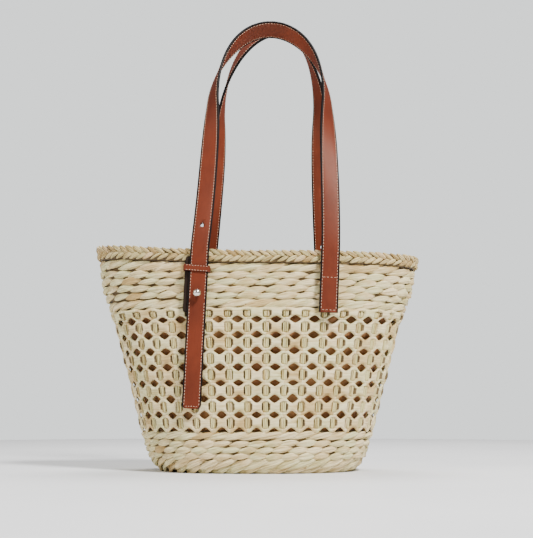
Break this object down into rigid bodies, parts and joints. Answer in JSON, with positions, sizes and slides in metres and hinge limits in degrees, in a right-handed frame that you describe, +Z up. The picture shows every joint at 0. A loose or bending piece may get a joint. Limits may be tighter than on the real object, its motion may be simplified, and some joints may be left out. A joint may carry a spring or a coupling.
{
  "type": "woven beach bag",
  "caption": "Oval woven husk beach bag with an openwork body, solid bands at rim and base, a cloth lining and a pair of leather shoulder handles.",
  "frame": {"origin": "centre of the footprint, on the surface that the bag stands on", "axes": "+Z up to the handles, +X along the mouth to the right seen from the front, -Y towards the front handle"},
  "size_m": [0.3402, 0.1568, 0.4812],
  "materials": {
    "husk_braid": "dry plaited maize husk",
    "husk_twist": "dry twisted maize husk",
    "husk_twined": "dry twined maize husk",
    "husk_ribbon": "flat maize husk ribbon",
    "husk_warp": "thin maize husk cords",
    "husk_base": "woven maize husk",
    "lining_cloth": "plain brown cotton cloth",
    "thread": "waxed thread",
    "stud_metal": "pale polished metal",
    "backing_leather": "rough split leather",
    "tab_leather": "smooth leather, painted edge",
    "keeper_leather": "smooth leather, painted edge",
    "strap_leather": "smooth leather, painted edge, edge stitching"
  },
  "bodies": {
    "basket": {"rim_braid": "husk_braid", "upper_wrap_row_1": "husk_twist", "upper_twined_row_1": "husk_twined", "upper_twined_row_2": "husk_twined", "upper_twined_row_3": "husk_twined", "upper_twined_row_4": "husk_twined", "upper_wrap_row_2": "husk_twist", "lattice_row_1": "husk_ribbon", "lattice_row_2": "husk_ribbon", "lattice_row_3": "husk_ribbon", "lattice_row_4": "husk_ribbon", "lattice_row_5": "husk_ribbon", "lattice_row_6": "husk_ribbon", "lattice_row_7": "husk_ribbon", "lattice_row_8": "husk_ribbon", "warp_cords": "husk_warp", "lower_wrap_row": "husk_twist", "lower_twined_row_1": "husk_twined", "lower_twined_row_2": "husk_twined", "lower_twined_row_3": "husk_twined", "base_wrap_row": "husk_twist", "base_panel": "husk_base", "lining": "lining_cloth", "front_buttoned_strap": "strap_leather", "front_sewn_end": "strap_leather", "front_sewn_end_thread": "thread", "front_anchor_tab": "tab_leather", "front_keeper_loop": "keeper_leather", "front_stud_screw": "stud_metal", "front_stud_ball": "stud_metal", "front_sewn_end_backing": "backing_leather", "front_tab_backing": "backing_leather", "rear_buttoned_strap": "strap_leather", "rear_sewn_end": "strap_leather", "rear_sewn_end_thread": "thread", "rear_anchor_tab": "tab_leather", "rear_keeper_loop": "keeper_leather", "rear_stud_screw": "stud_metal", "rear_stud_ball": "stud_metal", "rear_sewn_end_backing": "backing_leather", "rear_tab_backing": "backing_leather"},
    "front_handle": {"front_handle_strap": "strap_leather"},
    "rear_handle": {"rear_handle_strap": "strap_leather"},
    "front_tail": {"front_strap_tail": "strap_leather"},
    "rear_tail": {"rear_strap_tail": "strap_leather"}
  },
  "joints": [
    {"name": "front_handle_fold", "type": "hinge", "parent": "basket", "child": "front_handle", "pos_m": [0, -0.06811, 0.2245], "axis": [1, 0, 0], "range_deg": [0, 115]},
    {"name": "rear_handle_fold", "type": "hinge", "parent": "basket", "child": "rear_handle", "pos_m": [0, 0.06811, 0.2245], "axis": [-1, 0, 0], "range_deg": [0, 115]},
    {"name": "front_tail_lift", "type": "hinge", "parent": "basket", "child": "front_tail", "pos_m": [-0.05911, -0.07051, 0.16476], "axis": [-0.999, 0.0018, 0.0436], "range_deg": [0, 70]},
    {"name": "rear_tail_lift", "type": "hinge", "parent": "basket", "child": "rear_tail", "pos_m": [0.07611, 0.07051, 0.16476], "axis": [0.999, -0.0018, 0.0436], "range_deg": [0, 70]}
  ]
}
